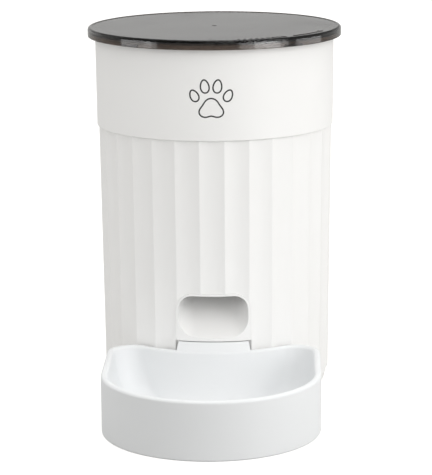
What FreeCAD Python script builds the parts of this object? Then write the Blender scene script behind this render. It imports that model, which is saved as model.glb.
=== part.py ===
"""Automatic pet feeder: a round hopper on a fluted housing, a bowl in front, and the drive inside.

Units are millimetres, +Z is up and the front of the feeder faces -Y. Each function draws one sub-part
about the housing's axis, with the floor at z = 0. The export moves them all along Y, so that the origin
of the finished feeder lies on the floor under its middle.
"""

import FreeCAD
import Part
import math
import os

from FreeCAD import Vector

# ---- driving dimensions -------------------------------------------------------------------
TOTAL_HEIGHT = 272.0        # floor to the top of the lid
LID_RADIUS = 95.0
LID_HEIGHT = 7.0            # height of the lid's skirt
COLLAR_RADIUS_TOP = 89.5    # smooth upper band, under the lid
COLLAR_RADIUS_LOW = 88.9
SEAM_Z = 198.2              # where the smooth band meets the fluted housing
SHELL_RADIUS_TOP = 87.8     # to the crests between flutes
SHELL_RADIUS_LOW = 85.5
SHELL_LOW_Z = 8.3
FLUTES = 30
FLUTE_DEPTH = 1.5
SHELL_WALL = 2.2
BASE_RADIUS = 82.8
BASE_LOW_Z = 1.5            # underside of the base plate, above the floor
BOWL_HALF_WIDTH = 78.2      # and the radius of its round front
BOWL_FRONT_Y = -222.5
BOWL_BACK_Y = -66.5
BOWL_BACK_CORNER = 19.0
BOWL_RIM_Z = 42.5
BOWL_WALL = 4.6
BOWL_MIDDLE_Y = -145.0
RIM_ROUND = 2.1             # radius on both edges of the bowl's rim
BOWL_PROFILE = (            # the hollow's height and how far its wall has come in, from above the rim down
    (53.0, -1.2), (42.5, 0.0), (32.0, 1.3), (23.0, 3.2), (16.0, 6.2), (10.5, 10.8), (6.8, 17.0), (5.0, 24.0),
    (4.4, 31.0),
)
MOUTH_HALF_WIDTH = 26.3     # the chute's mouth
MOUTH_LOW_Z = 52.4
MOUTH_HIGH_Z = 83.5
MOUTH_CORNER = 11.8
DUCT_LOW_Y = -22.2          # the chute's duct where it stands upright under the rotor
DUCT_HIGH_Y = -44.6
TAB_HALF_TOP = 25.6         # the bowl's tab, under the mouth
TAB_HALF_LOW = 27.2
TAB_TOP_Z = 48.7
VANES = 6                   # of the portion rotor
SENSOR_AT = (-33.0, 94.0)   # y and z of the light beam across the duct

# the rear panel, with its places as (x, z)
PORT_HALF = 19.0
PORT_LOW = 18.0
PORT_HIGH = 58.0
PANEL_Y = 79.0
SOCKET_AT = (0.0, 28.0)
BUTTON_AT = (-8.0, 46.0)
LENS_AT = (8.0, 46.0)
BUTTON_RADIUS = 5.0

# the battery bay
BATTERY = (-54.0, 54.0, -40.0, 29.0)   # outline of the battery opening: low x, high x, low y, high y
COVER_TRAVEL = 12.0
COVER_THICK = 1.6
BOX_TOP_Z = 43.0
CELL_XS = (-34.6, 0.0, 34.6)

# the gears
MODULE = 0.8
PRESSURE = math.radians(25.0)
ADDENDUM = 0.8
DEDENDUM = 1.05
FLANK_POINTS = 4
THINNING = 0.16             # taken off each tooth's thickness, for backlash
OUT_TEETH = 40
BIG_TEETH = 36
SMALL_TEETH = 12
PINION_TEETH = 10
B_ANGLE = 90.0
A_ANGLE = -20.0
P_ANGLE = 35.0

# the gearbox and the board
CASE = (-22.0, 47.0, -18.4, 46.0)      # gearbox outline: low x, high x, low y, high y
CASE_LOW_Z = 76.0
TAG_XS = (-3.2, 3.2)
CASE_TOP_Z = 101.0
AXLE = 1.5
CASE_SCREWS = ((-17.6, -13.8), (-17.6, 41.4), (42.4, 41.4), (42.4, -13.8))
BOARD_Y = 64.0
BOARD_THICK = 1.6
BOARD_FRONT = BOARD_Y + BOARD_THICK
BOARD_SCREWS = ((-26.0, 22.0), (26.0, 22.0), (-26.0, 56.0), (26.0, 56.0))

# ---- sizes worked out from them -----------------------------------------------------------
AXIS_Y = -(BOWL_FRONT_Y + LID_RADIUS) / 2   # how far the export moves them
SHELL_LESS = FLUTE_DEPTH + SHELL_WALL       # from the crests to the shell's inner face
LID_LOW_Z = TOTAL_HEIGHT - LID_HEIGHT
LID_UNDER_Z = TOTAL_HEIGHT - 2.6
FLANGE_TOP_Z = LID_UNDER_Z - 0.3
FLANGE_LOW_Z = FLANGE_TOP_Z - 1.5
FLANGE_RADIUS = LID_RADIUS - 3.2
TANK_MOUTH_RADIUS = COLLAR_RADIUS_TOP - 3.1
TANK_RADIUS = 83.0          # the part of the tank that hangs inside the shell
CHAMBER_RADIUS = 44.0       # where the portion rotor turns
CHAMBER_FLOOR_Z = 109.2
CHAMBER_TOP_Z = 137.5
FUNNEL_TOP_Z = 168.5
GUARD_Z = 134.2             # underside of the plate over the outlet
TANK_FLOOR_Z = 106.9
DECK_TOP_Z = 106.4
DECK_THICK = 3.0
BOWL_BACK_RADIUS = SHELL_RADIUS_LOW + 0.8
ROTOR_LOW_Z = CHAMBER_FLOOR_Z + 0.3
ROTOR_TOP_Z = GUARD_Z - 0.6
HUB_TOP_Z = GUARD_Z + 0.2
MOTOR_TOP_Z = CASE_LOW_Z - 0.05
COVER_TOP_Z = DECK_TOP_Z - DECK_THICK - 0.05

LUG_ANGLES = (-130.0, -50.0, 50.0, 130.0)
UNLOCK_TURN = 15.0
DECK_POST_ANGLES = (40.0, 140.0, 224.0, 316.0)
DECK_POST_RADIUS = 70.0
SHELL_BOSS_ANGLES = (28.0, 152.0, 208.0, 332.0)
SHELL_BOSS_RADIUS = 74.0
FOOT_ANGLES = (55.0, 125.0, 242.0, 298.0)
FOOT_RADIUS_AT = 68.0


# ---- drawing helpers ----------------------------------------------------------------------
def wire(points, place):
    """A closed wire through (u, v) or (u, v, radius) corners; a corner with a radius is rounded."""
    n = len(points)
    starts = []
    ends = []
    arcs = []
    for i in range(n):
        here = Vector(points[i][0], points[i][1], 0)
        radius = points[i][2] if len(points[i]) > 2 else 0.0
        if radius <= 0:
            starts.append(here)
            ends.append(here)
            arcs.append(None)
            continue
        before = (Vector(points[i - 1][0], points[i - 1][1], 0) - here).normalize()
        after_point = points[(i + 1) % n]
        after = (Vector(after_point[0], after_point[1], 0) - here).normalize()
        half = before.getAngle(after) / 2
        reach = radius / math.tan(half)
        middle = (before + after).normalize()
        centre = here + middle * (radius / math.sin(half))
        starts.append(here + before * reach)
        ends.append(here + after * reach)
        arcs.append(centre - middle * radius)
    edges = []
    for i in range(n):
        if arcs[i] is not None:
            edges.append(Part.Arc(place(starts[i]), place(arcs[i]), place(ends[i])).toShape())
        nxt = starts[(i + 1) % n]
        if (nxt - ends[i]).Length > 1e-6:
            edges.append(Part.LineSegment(place(ends[i]), place(nxt)).toShape())
    return Part.Wire(edges)


def turned(points, sweep=360.0):
    """A solid of revolution about Z from a closed outline of (radius, z) corners."""
    face = Part.Face(wire(points, lambda p: Vector(p.x, 0, p.y)))
    return face.revolve(Vector(0, 0, 0), Vector(0, 0, 1), sweep)


def plate(points, low, high):
    """An outline of (x, y) corners, raised from z low to z high."""
    face = Part.Face(wire(points, lambda p: Vector(p.x, p.y, low)))
    return face.extrude(Vector(0, 0, high - low))


def front_slab(points, y_low, y_high):
    """An outline of (x, z) corners, extended from y_low to y_high."""
    face = Part.Face(wire(points, lambda p: Vector(p.x, y_low, p.y)))
    return face.extrude(Vector(0, y_high - y_low, 0))


def box(x0, x1, y0, y1, z0, z1, radius=0.0):
    """A block, with its upright edges rounded."""
    return plate([(x0, y0, radius), (x1, y0, radius), (x1, y1, radius), (x0, y1, radius)], z0, z1)


def post(radius, low, high, x=0.0, y=0.0):
    return Part.makeCylinder(radius, high - low, Vector(x, y, low))


def rod_y(radius, y0, y1, x, z):
    return Part.makeCylinder(radius, y1 - y0, Vector(x, y0, z), Vector(0, 1, 0))


def ring(outer, inner, low, high, x=0.0, y=0.0):
    return post(outer, low, high, x, y).cut(post(inner, low, high, x, y))


def at(radius, degrees):
    """(x, y) at that radius, with degrees counted from +X."""
    a = math.radians(degrees)
    return radius * math.cos(a), radius * math.sin(a)


def joined(shapes):
    """One solid made of several that touch or overlap."""
    whole = shapes[0]
    for s in shapes[1:]:
        whole = whole.fuse(s)
    return whole.removeSplitter()


def arc_block(r0, r1, low, high, centre, width):
    """A ring segment, width degrees wide about the centre angle."""
    profile = [(r0, low), (r1, low), (r1, high), (r0, high)]
    block = turned(profile, width)
    block.rotate(Vector(0, 0, 0), Vector(0, 0, 1), centre - width / 2)
    return block


def pan_screw(x, y, head_z, length, up=1.0, shank=1.4, head=2.9):
    """A pan head screw with a cross recess, along Z, with its head's inner face at head_z."""
    low = min(head_z, head_z + up * length)
    body = post(shank, low, low + length, x, y)
    head_low = min(head_z, head_z - up * 1.6)
    cap = post(head, head_low, head_low + 1.6, x, y)
    outer = head_z - up * 1.6
    inner = outer + up * 0.9
    low, high = min(outer, inner), max(outer, inner)
    slot_a = box(x - 1.6, x + 1.6, y - 0.35, y + 0.35, low, high)
    slot_b = box(x - 0.35, x + 0.35, y - 1.6, y + 1.6, low, high)
    return body.fuse(cap).cut(slot_a.fuse(slot_b))


# ---- the lid ------------------------------------------------------------------------------
def lid():
    """Flat smoked cover with a skirt, a plug ring that carries the gasket, and four bayonet lugs."""
    bead = 1.6
    dish = 0.35
    profile = [
        (0, TOTAL_HEIGHT - dish),
        (LID_RADIUS - bead - 1.8, TOTAL_HEIGHT - dish, 0.5),
        (LID_RADIUS - bead - 1.2, TOTAL_HEIGHT, 0.4),
        (LID_RADIUS, TOTAL_HEIGHT, 1.9),
        (LID_RADIUS, LID_LOW_Z, 0.5),
        (LID_RADIUS - 2.2, LID_LOW_Z, 0.5),
        (LID_RADIUS - 2.2, LID_UNDER_Z, 1.2),
        (TANK_MOUTH_RADIUS - 1.2, LID_UNDER_Z, 0.5),
        (TANK_MOUTH_RADIUS - 1.2, LID_UNDER_Z - 7.0, 0.4),
        (TANK_MOUTH_RADIUS - 3.0, LID_UNDER_Z - 7.0, 0.4),
        (TANK_MOUTH_RADIUS - 3.0, LID_UNDER_Z, 1.0),
        (0, LID_UNDER_Z),
    ]
    body = turned(profile)
    lugs = [
        arc_block(COLLAR_RADIUS_TOP + 0.6, LID_RADIUS - 2.0, LID_LOW_Z + 0.2, LID_LOW_Z + 1.5, a, 9.0)
        for a in LUG_ANGLES
    ]
    body = joined([body] + lugs)
    gate = Part.makeSphere(3.0, Vector(0, 0, TOTAL_HEIGHT - dish + 2.65))
    marker = plate([(-1.7, -84.2, 0.3), (1.7, -84.2, 0.3), (0, -81.4, 0.3)], TOTAL_HEIGHT - 0.6, TOTAL_HEIGHT)
    return body.cut(gate).cut(marker)


def lid_gasket():
    """Soft ring with two lips on the lid's plug, sealing against the tank's mouth."""
    inner = TANK_MOUTH_RADIUS - 1.15
    outer = TANK_MOUTH_RADIUS - 0.1
    low = LID_UNDER_Z - 6.2
    return turned([
        (inner, low, 0.1),
        (outer - 0.2, low, 0.2),
        (outer, low + 1.2, 0.15),
        (inner + 0.4, low + 1.9, 0.2),
        (inner + 0.4, low + 2.8, 0.2),
        (outer, low + 3.5, 0.15),
        (outer - 0.2, low + 4.7, 0.2),
        (inner, low + 4.7, 0.1),
    ])


# ---- the hopper ---------------------------------------------------------------------------
def hopper_tank():
    """Food tank: smooth collar, a shelf that rests on the shell, a funnel and the rotor's chamber."""
    profile = [
        (TANK_MOUTH_RADIUS, FLANGE_TOP_Z, 0.5),
        (FLANGE_RADIUS, FLANGE_TOP_Z, 0.4),
        (FLANGE_RADIUS, FLANGE_LOW_Z, 0.3),
        (COLLAR_RADIUS_TOP, FLANGE_LOW_Z, 0.3),
        (COLLAR_RADIUS_LOW, SEAM_Z + 0.2, 0.7),
        (TANK_RADIUS + 0.1, SEAM_Z + 0.2, 0.6),
        (TANK_RADIUS, FUNNEL_TOP_Z - 1.2, 6.0),
        (CHAMBER_RADIUS + 2.3, CHAMBER_TOP_Z - 1.2, 3.0),
        (CHAMBER_RADIUS + 2.3, TANK_FLOOR_Z, 0.8),
        (7.3, TANK_FLOOR_Z, 0.3),
        (7.3, CHAMBER_FLOOR_Z, 0.3),
        (CHAMBER_RADIUS, CHAMBER_FLOOR_Z, 1.0),
        (CHAMBER_RADIUS, GUARD_Z + 0.4),
        (CHAMBER_RADIUS + 0.6, GUARD_Z + 0.9),
        (CHAMBER_RADIUS, GUARD_Z + 1.4),
        (CHAMBER_RADIUS, CHAMBER_TOP_Z, 1.5),
        (TANK_RADIUS - 2.3, FUNNEL_TOP_Z, 8.0),
        (TANK_RADIUS - 2.2, SEAM_Z + 2.9, 0.5),
        (COLLAR_RADIUS_LOW - 2.7, SEAM_Z + 2.9, 2.0),
    ]
    body = turned(profile)
    notches = [
        arc_block(COLLAR_RADIUS_TOP + 0.02, FLANGE_RADIUS + 1, FLANGE_LOW_Z - 0.2, FLANGE_TOP_Z + 1,
                  a + UNLOCK_TURN, 12.5)
        for a in LUG_ANGLES
    ]
    outlet = arc_block(26.0, CHAMBER_RADIUS - 1.5, TANK_FLOOR_Z - 1, CHAMBER_FLOOR_Z + 1, -90.0, 58.0)
    for cutter in notches + [outlet]:
        body = body.cut(cutter)
    return body


def portion_guard():
    """Plate over the outlet, so that food only reaches it in the rotor's pockets."""
    rim = CHAMBER_RADIUS - 0.3
    profile = [
        (11.4, GUARD_Z), (rim, GUARD_Z), (rim, GUARD_Z + 0.6), (rim + 0.7, GUARD_Z + 0.9),
        (rim, GUARD_Z + 1.2), (rim, GUARD_Z + 1.8, 0.3), (13.4, GUARD_Z + 1.8, 0.6),
        (13.4, GUARD_Z + 3.8, 0.5), (11.4, GUARD_Z + 3.8, 0.5),
    ]
    body = turned(profile, 130.0)
    body.rotate(Vector(0, 0, 0), Vector(0, 0, 1), -90.0 - 65.0)
    return body


# ---- the portion rotor --------------------------------------------------------------------
def hexagon(across_flats, low, high):
    """A six-sided prism about Z."""
    corner = across_flats / math.sqrt(3.0)
    return plate([at(corner, 60.0 * k) for k in range(6)], low, high)


def rotor_hub():
    """Hub with a hexagonal socket for the drive shaft and six short arms."""
    hub = turned([
        (0, ROTOR_LOW_Z), (10.0, ROTOR_LOW_Z, 0.6), (10.0, HUB_TOP_Z, 1.0), (0, HUB_TOP_Z),
    ])
    arms = []
    for k in range(VANES):
        arm = box(9.0, 26.0, -1.6, 1.6, ROTOR_LOW_Z + 2.0, ROTOR_TOP_Z - 2.0, 0.8)
        arm.rotate(Vector(0, 0, 0), Vector(0, 0, 1), 360.0 / VANES * k)
        arms.append(arm)
    body = joined([hub] + arms)
    peg = post(3.0, HUB_TOP_Z - 0.1, HUB_TOP_Z + 4.2)
    return body.fuse(peg).removeSplitter().cut(hexagon(8.0 + 0.3, 109.0, 126.0))


def rotor_vanes():
    """Six soft vanes on the arms, joined by a thin ring round the hub."""
    vanes = []
    low = ROTOR_LOW_Z + 0.5
    for k in range(VANES):
        sleeve = box(12.0, 38.5, -2.6, 2.6, low, ROTOR_TOP_Z, 1.2)
        tip = box(38.0, CHAMBER_RADIUS - 0.8, -0.8, 0.8, low, ROTOR_TOP_Z, 0.3)
        vane = sleeve.fuse(tip)
        vane.rotate(Vector(0, 0, 0), Vector(0, 0, 1), 360.0 / VANES * k)
        vanes.append(vane)
    cuff = ring(13.0, 10.05, low, ROTOR_TOP_Z - 0.5)
    body = joined([cuff] + vanes)
    return body.cut(rotor_hub())


def stirrer():
    """Cap on the rotor with two bent fingers that keep the food from bridging."""
    low = HUB_TOP_Z + 0.1
    cap = turned([
        (0, low), (9.0, low, 0.6), (9.0, low + 5.0, 2.0), (5.0, low + 10.5, 3.0), (0, low + 11.5),
    ])
    fingers = []
    for k in range(2):
        path = wire_path([(0, 0, low + 6.5), (22, 0, low + 8.5), (34, 0, low + 26.0)], 8.0)
        finger = tube(path, 2.2)
        finger.rotate(Vector(0, 0, 0), Vector(0, 0, 1), 180.0 * k + 20.0)
        fingers.append(finger)
    body = joined([cap] + fingers)
    return body.cut(post(3.05, low - 1.0, low + 4.2))


def wire_path(points, radius):
    """Straight runs through the points, joined by tangent arcs of that radius."""
    edges = []
    last = Vector(*points[0])
    for i in range(1, len(points) - 1):
        here = Vector(*points[i])
        before = (Vector(*points[i - 1]) - here).normalize()
        after = (Vector(*points[i + 1]) - here).normalize()
        half = before.getAngle(after) / 2
        reach = radius / math.tan(half)
        middle = (before + after).normalize()
        centre = here + middle * (radius / math.sin(half))
        start = here + before * reach
        end = here + after * reach
        edges.append(Part.LineSegment(last, start).toShape())
        edges.append(Part.Arc(start, centre - middle * radius, end).toShape())
        last = end
    edges.append(Part.LineSegment(last, Vector(*points[-1])).toShape())
    return Part.Wire(edges)


def tube(path, radius):
    """A round bar along a wire, with a domed far end."""
    first = path.Edges[0]
    start = first.valueAt(first.FirstParameter)
    section = Part.Wire(Part.makeCircle(radius, start, first.tangentAt(first.FirstParameter)))
    bar = path.makePipeShell([section], True, True)
    last = path.Edges[-1]
    return bar.fuse(Part.makeSphere(radius, last.valueAt(last.LastParameter)))


# ---- the housing --------------------------------------------------------------------------
def fluted_wire(crest_radius, z):
    """A closed wire of hollow flutes, with a small round on each crest between two of them."""
    pitch = 360.0 / FLUTES
    soft = 0.42
    shoulder = crest_radius - 0.13
    edges = []
    for k in range(FLUTES):
        crest = -90.0 + pitch / 2 + pitch * k
        points = []
        for r, a in ((shoulder, crest - soft), (crest_radius, crest), (shoulder, crest + soft),
                     (crest_radius - FLUTE_DEPTH, crest + pitch / 2), (shoulder, crest + pitch - soft)):
            x, y = at(r, a)
            points.append(Vector(x, y, z))
        edges.append(Part.Arc(points[0], points[1], points[2]).toShape())
        edges.append(Part.Arc(points[2], points[3], points[4]).toShape())
    return Part.Wire(edges)


def shell_radius(z):
    """Radius to the crests at that height."""
    share = (z - SHELL_LOW_Z) / (SEAM_Z - SHELL_LOW_Z)
    return SHELL_RADIUS_LOW + share * (SHELL_RADIUS_TOP - SHELL_RADIUS_LOW)


def bezel_outline(grow):
    """Outline of the chute's bezel as (x, z): round above, square below, down to the tab's gap."""
    half = MOUTH_HALF_WIDTH + 1.3 + grow
    top = MOUTH_HIGH_Z + 1.3 + grow
    low = TAB_TOP_Z + 0.7 - grow
    corner = MOUTH_CORNER + 1.3 + grow
    return [(-half, low), (half, low), (half, top, corner), (-half, top, corner)]


def fluted_shell():
    """The tapered outer housing."""
    outer = Part.makeLoft([fluted_wire(SHELL_RADIUS_LOW, SHELL_LOW_Z),
                           fluted_wire(SHELL_RADIUS_TOP, SEAM_Z)], True, True)
    inner = Part.makeCone(SHELL_RADIUS_LOW - SHELL_LESS, SHELL_RADIUS_TOP - SHELL_LESS, SEAM_Z - SHELL_LOW_Z,
                          Vector(0, 0, SHELL_LOW_Z))
    body = outer.cut(inner)
    bosses = []
    for a in SHELL_BOSS_ANGLES:
        x, y = at(SHELL_BOSS_RADIUS, a)
        column = post(4.2, 16.0, 46.0, x, y)
        web_x, web_y = at(SHELL_BOSS_RADIUS + 4.0, a)
        web = box(-3.0, 5.2, -1.3, 1.3, 16.0, 46.0)
        web.rotate(Vector(0, 0, 0), Vector(0, 0, 1), a)
        web.translate(Vector(web_x, web_y, 0))
        bosses.append(column.fuse(web))
    half = PORT_HALF + 5.5
    bosses.append(box(-half, half, PANEL_Y - 2.5, 90.0, 13.6, PORT_HIGH + 5.0))
    reach = post(shell_radius(30.0) - FLUTE_DEPTH - 0.2, 10.0, 70.0)
    body = joined([body] + [b.common(reach) for b in bosses])
    for a in SHELL_BOSS_ANGLES:
        body = body.cut(post(1.25, 10.0, 34.0, *at(SHELL_BOSS_RADIUS, a)))
    window = front_slab(bezel_outline(0.08), -100.0, -60.0)
    pocket_low = BOWL_RIM_Z - 1.6
    pocket_high = TAB_TOP_Z + 0.62
    pocket = box(-TAB_HALF_LOW - 0.7, TAB_HALF_LOW + 0.7, -100, -60, pocket_low, pocket_high)
    pocket = pocket.cut(post(shell_radius(45.0) - 2.6, 30.0, 60.0))
    port = front_slab(port_outline(0.15), 70.0, 100.0)
    seat = front_slab(port_outline(1.6), PANEL_Y, 100.0)
    for cutter in (window, pocket, port, seat):
        body = body.cut(cutter)
    return body


def port_outline(grow):
    """Outline of the rear panel, as (x, z)."""
    return [(-PORT_HALF - grow, PORT_LOW - grow, 4.0), (PORT_HALF + grow, PORT_LOW - grow, 4.0),
            (PORT_HALF + grow, PORT_HIGH + grow, 4.0), (-PORT_HALF - grow, PORT_HIGH + grow, 4.0)]


def port_panel():
    """Flat rear panel with holes for the socket, the button and the status lens."""
    body = front_slab(port_outline(1.4), PANEL_Y + 0.1, PANEL_Y + 2.0)
    spigot = front_slab(port_outline(-0.1), PANEL_Y - 3.4, PANEL_Y + 0.1)
    spigot = spigot.cut(front_slab(port_outline(-1.9), PANEL_Y - 4, PANEL_Y + 0.2))
    body = body.fuse(spigot)
    for radius, place in ((4.1, SOCKET_AT), (BUTTON_RADIUS + 0.35, BUTTON_AT), (1.6, LENS_AT)):
        body = body.cut(rod_y(radius, PANEL_Y - 5, PANEL_Y + 5, place[0], place[1]))
    dish = Part.makeCone(5.9, 4.1, 1.0, Vector(SOCKET_AT[0], PANEL_Y + 2.0, SOCKET_AT[1]), Vector(0, -1, 0))
    return body.cut(dish).removeSplitter()


def base_plate():
    """Bottom cover: a shallow cup with the battery opening, screw holes and pockets for the feet."""
    inside = SHELL_RADIUS_LOW - FLUTE_DEPTH - SHELL_WALL - 0.3
    cup = turned([
        (0, BASE_LOW_Z),
        (BASE_RADIUS, BASE_LOW_Z, 1.2),
        (BASE_RADIUS + 0.5, SHELL_LOW_Z - 0.2, 0.3),
        (inside, SHELL_LOW_Z - 0.2, 0.2),
        (inside, SHELL_LOW_Z + 5.0, 0.4),
        (inside - 2.0, SHELL_LOW_Z + 5.0, 0.4),
        (inside - 2.0, BASE_LOW_Z + 3.0),
        (0, BASE_LOW_Z + 3.0),
    ])
    posts = [post(4.4, BASE_LOW_Z + 2.5, 22.0, *at(DECK_POST_RADIUS, a)) for a in DECK_POST_ANGLES]
    seats = [post(4.4, BASE_LOW_Z + 2.5, 15.8, *at(SHELL_BOSS_RADIUS, a)) for a in SHELL_BOSS_ANGLES]
    pads = [post(8.0, BASE_LOW_Z + 2.5, BASE_LOW_Z + 4.2, *at(FOOT_RADIUS_AT, a)) for a in FOOT_ANGLES]
    within = post(inside, 0, 30)
    body = joined([cup] + [s.common(within) for s in posts + seats + pads])
    for radius, angles, top in ((DECK_POST_RADIUS, DECK_POST_ANGLES, 18.0),
                                (SHELL_BOSS_RADIUS, SHELL_BOSS_ANGLES, 12.0)):
        for a in angles:
            x, y = at(radius, a)
            body = body.cut(post(1.7, 0, 30, x, y)).cut(post(3.2, 0, top, x, y))
    for a in FOOT_ANGLES:
        body = body.cut(post(6.1, 0, BASE_LOW_Z + 1.6, *at(FOOT_RADIUS_AT, a)))
    x0, x1, y0, y1 = BATTERY
    body = body.cut(box(x0 + 2, x1 - 2, y0 + 2, y1 - 2, 0, 20, 2.0))
    body = body.cut(box(x0, x1, y0, y1 + COVER_TRAVEL, 0, BASE_LOW_Z + COVER_THICK + 0.2, 2.0))
    return body


def battery_cover():
    """Cover of the battery opening, with a ribbed thumb grip. It slides to the rear."""
    x0, x1, y0, y1 = BATTERY
    body = box(x0 + 0.4, x1 - 0.4, y0 + 0.4, y1 - 0.2, BASE_LOW_Z, BASE_LOW_Z + COVER_THICK, 1.8)
    for k in range(5):
        y = y0 + 12.0 + 2.4 * k
        body = body.cut(box(-12, 12, y, y + 1.0, BASE_LOW_Z - 1, BASE_LOW_Z + 0.5))
    return body


def battery_box():
    """Compartment for three round cells, open below."""
    x0, x1, y0, y1 = BATTERY
    low = BASE_LOW_Z + 3.1
    outer = box(x0 - 0.2, x1 + 0.2, y0 - 0.2, y1 + 0.2, low, BOX_TOP_Z, 3.0)
    inner = box(x0 + 1.8, x1 - 1.8, y0 + 1.8, y1 - 1.8, low - 1, BOX_TOP_Z - 2.0, 2.0)
    body = outer.cut(inner)
    walls = [box(x - 0.8, x + 0.8, y0 + 1.0, y1 - 1.0, 26.0, BOX_TOP_Z - 1.0) for x in (-17.3, 17.3)]
    return joined([body] + walls)


def battery_springs():
    """Conical contact springs, one for each cell."""
    coils = []
    for x in CELL_XS:
        y = BATTERY[2] + 2.7
        turns = []
        for k in range(4):
            turns.append(Part.makeTorus(9.0 - 1.6 * k, 0.45, Vector(x, y + 1.3 * k, 23.0), Vector(0, 1, 0)))
        stem = box(x - 9.0, x - 3.0, y, y + 0.4, 22.6, 23.4)
        stem.rotate(Vector(x - 9.0, y, 23.0), Vector(0, 0, 1), 40.0)
        coils.append(joined(turns + [stem]))
    return Part.makeCompound(coils)


def battery_contacts():
    """Flat contact plates on the compartment's end walls."""
    plates = []
    for x in CELL_XS:
        plates.append(box(x - 11, x + 11, BATTERY[2] + 1.85, BATTERY[2] + 2.25, 11.0, 35.0))
        back_plate = box(x - 8, x + 8, BATTERY[3] - 2.3, BATTERY[3] - 1.9, 13.0, 33.0)
        plates.append(back_plate.fuse(rod_y(3.0, BATTERY[3] - 3.4, BATTERY[3] - 2.2, x, 23.0)))
    return Part.makeCompound(plates)


def base_feet():
    """Four rubber feet in the base plate's pockets."""
    feet = []
    for a in FOOT_ANGLES:
        x, y = at(FOOT_RADIUS_AT, a)
        foot = turned([
            (0, 0), (5.2, 0, 0.8), (6.0, BASE_LOW_Z, 0.3), (6.0, BASE_LOW_Z + 1.5), (0, BASE_LOW_Z + 1.5),
        ])
        foot.translate(Vector(x, y, 0))
        feet.append(foot)
    return Part.makeCompound(feet)


# ---- the discharge chute ------------------------------------------------------------------
def round_section(centre, across, up, width, height, corner):
    """A rounded rectangle as a wire, about a centre, with its two directions given."""
    w, h = width / 2, height / 2
    points = [(-w, -h, corner), (w, -h, corner), (w, h, corner), (-w, h, corner)]
    return wire(points, lambda p: centre + across * p.x + up * p.y)


def chute_loft(grow):
    """The duct's inner or, grown, its outer form, from the mouth back and up to the rotor's outlet."""
    full = 2 * MOUTH_HALF_WIDTH
    stations = (
        # the floor's y and z, the roof's y and z, the width, the corners' radius
        (-92.0, MOUTH_LOW_Z - 2.6, -92.0, MOUTH_HIGH_Z - 0.4, full + 1.6, MOUTH_CORNER + 0.4),
        (-84.3, MOUTH_LOW_Z + 0.6, -84.3, MOUTH_HIGH_Z, full - 0.2, MOUTH_CORNER),
        (-72.0, 62.5, -75.0, 87.5, full - 5.0, 11.0),
        (-48.0, 77.0, -62.0, 94.0, full - 6.0, 9.4),
        (DUCT_LOW_Y, 95.0, DUCT_HIGH_Y, 95.0, full - 6.0, 9.0),
        (DUCT_LOW_Y, DECK_TOP_Z + 4.0, DUCT_HIGH_Y, DECK_TOP_Z + 4.0, full - 6.0, 9.0),
    )
    sections = []
    for floor_y, floor_z, roof_y, roof_z, width, corner in stations:
        floor, roof = Vector(0, floor_y, floor_z), Vector(0, roof_y, roof_z)
        up = (roof - floor).normalize()
        sections.append(round_section((floor + roof) / 2, Vector(1, 0, 0), up, width + 2 * grow,
                                      (roof - floor).Length + 2 * grow, corner + grow))
    return joined([Part.makeLoft(sections[:-1], True, False), Part.makeLoft(sections[-2:], True, True)])


def discharge_chute():
    """Bezel in the shell's window and the duct that leads the food down into the bowl."""
    face_radius = shell_radius(68.0) + 0.1
    bezel = front_slab(bezel_outline(0.0), -100.0, -60.0)
    bezel = bezel.common(ring(face_radius, face_radius - 5.0, 40.0, 95.0))
    behind = shell_radius(45.0) - SHELL_LESS - 0.15
    flange = front_slab(bezel_outline(4.0), -100.0, -60.0).common(ring(behind, behind - 1.8, 40.0, 95.0))
    neck = front_slab(bezel_outline(0.0), -100.0, -60.0)
    neck = neck.common(ring(face_radius - 1.0, behind - 1.0, 40.0, 95.0))
    duct = chute_loft(2.0).common(post(behind, 40.0, TANK_FLOOR_Z - 0.3))
    body = joined([bezel, neck, flange, duct])
    eyes = Part.makeCylinder(2.6, 80.0, Vector(-40.0, SENSOR_AT[0], SENSOR_AT[1]), Vector(1, 0, 0))
    return body.cut(chute_loft(0.0)).cut(eyes)


def food_sensors():
    """Light emitter and receiver on the two sides of the duct."""
    y, z = SENSOR_AT
    wall = MOUTH_HALF_WIDTH
    pair = []
    for s in (-1, 1):
        x0, x1 = sorted((s * (wall + 0.3), s * (wall + 5.3)))
        block = box(x0, x1, y - 3.5, y + 3.5, z - 4.0, z + 4.0)
        dome = Part.makeCylinder(2.4, 1.6, Vector(s * (wall + 0.4), y, z), Vector(-s, 0, 0))
        pair.append(block.fuse(dome).removeSplitter())
    return Part.makeCompound(pair)


# ---- the bowl -----------------------------------------------------------------------------
def bowl_plan(inset, low, high):
    """The bowl's plan, drawn inset by a wall: a round front, straight sides, round back corners."""
    half = BOWL_HALF_WIDTH - inset
    front = BOWL_FRONT_Y + inset
    back = BOWL_BACK_Y - inset
    corner = BOWL_BACK_CORNER - inset
    body = plate([(-half, front, half), (half, front, half), (half, back, corner), (-half, back, corner)],
                 low, high)
    return body.cut(post(BOWL_BACK_RADIUS + inset, low - 1, high + 1))


def bowl_form(inset, low, high, tip):
    """The plan with a radius on the tips, where the back corners meet the hollow for the housing."""
    body = bowl_plan(inset, low, high)
    tips = [e for e in body.Edges if upright(e) and e.Vertexes[0].Y > -100 and sharp(body, e)]
    return body.makeFillet(tip, tips)


def upright(edge):
    a, b = edge.Vertexes[0].Point, edge.Vertexes[-1].Point
    return abs(a.z - b.z) > 1 and math.hypot(a.x - b.x, a.y - b.y) < 1e-6


def sharp(body, edge):
    """True where the two faces that meet at an upright edge turn by more than 5 degrees."""
    faces = [f for f in body.Faces if any(e.isSame(edge) for e in f.Edges)]
    if len(faces) != 2:
        return False
    p = edge.CenterOfMass
    normals = []
    for f in faces:
        u, v = f.Surface.parameter(p)
        normals.append(f.normalAt(u, v))
    return math.degrees(normals[0].getAngle(normals[1])) > 5.0


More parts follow.
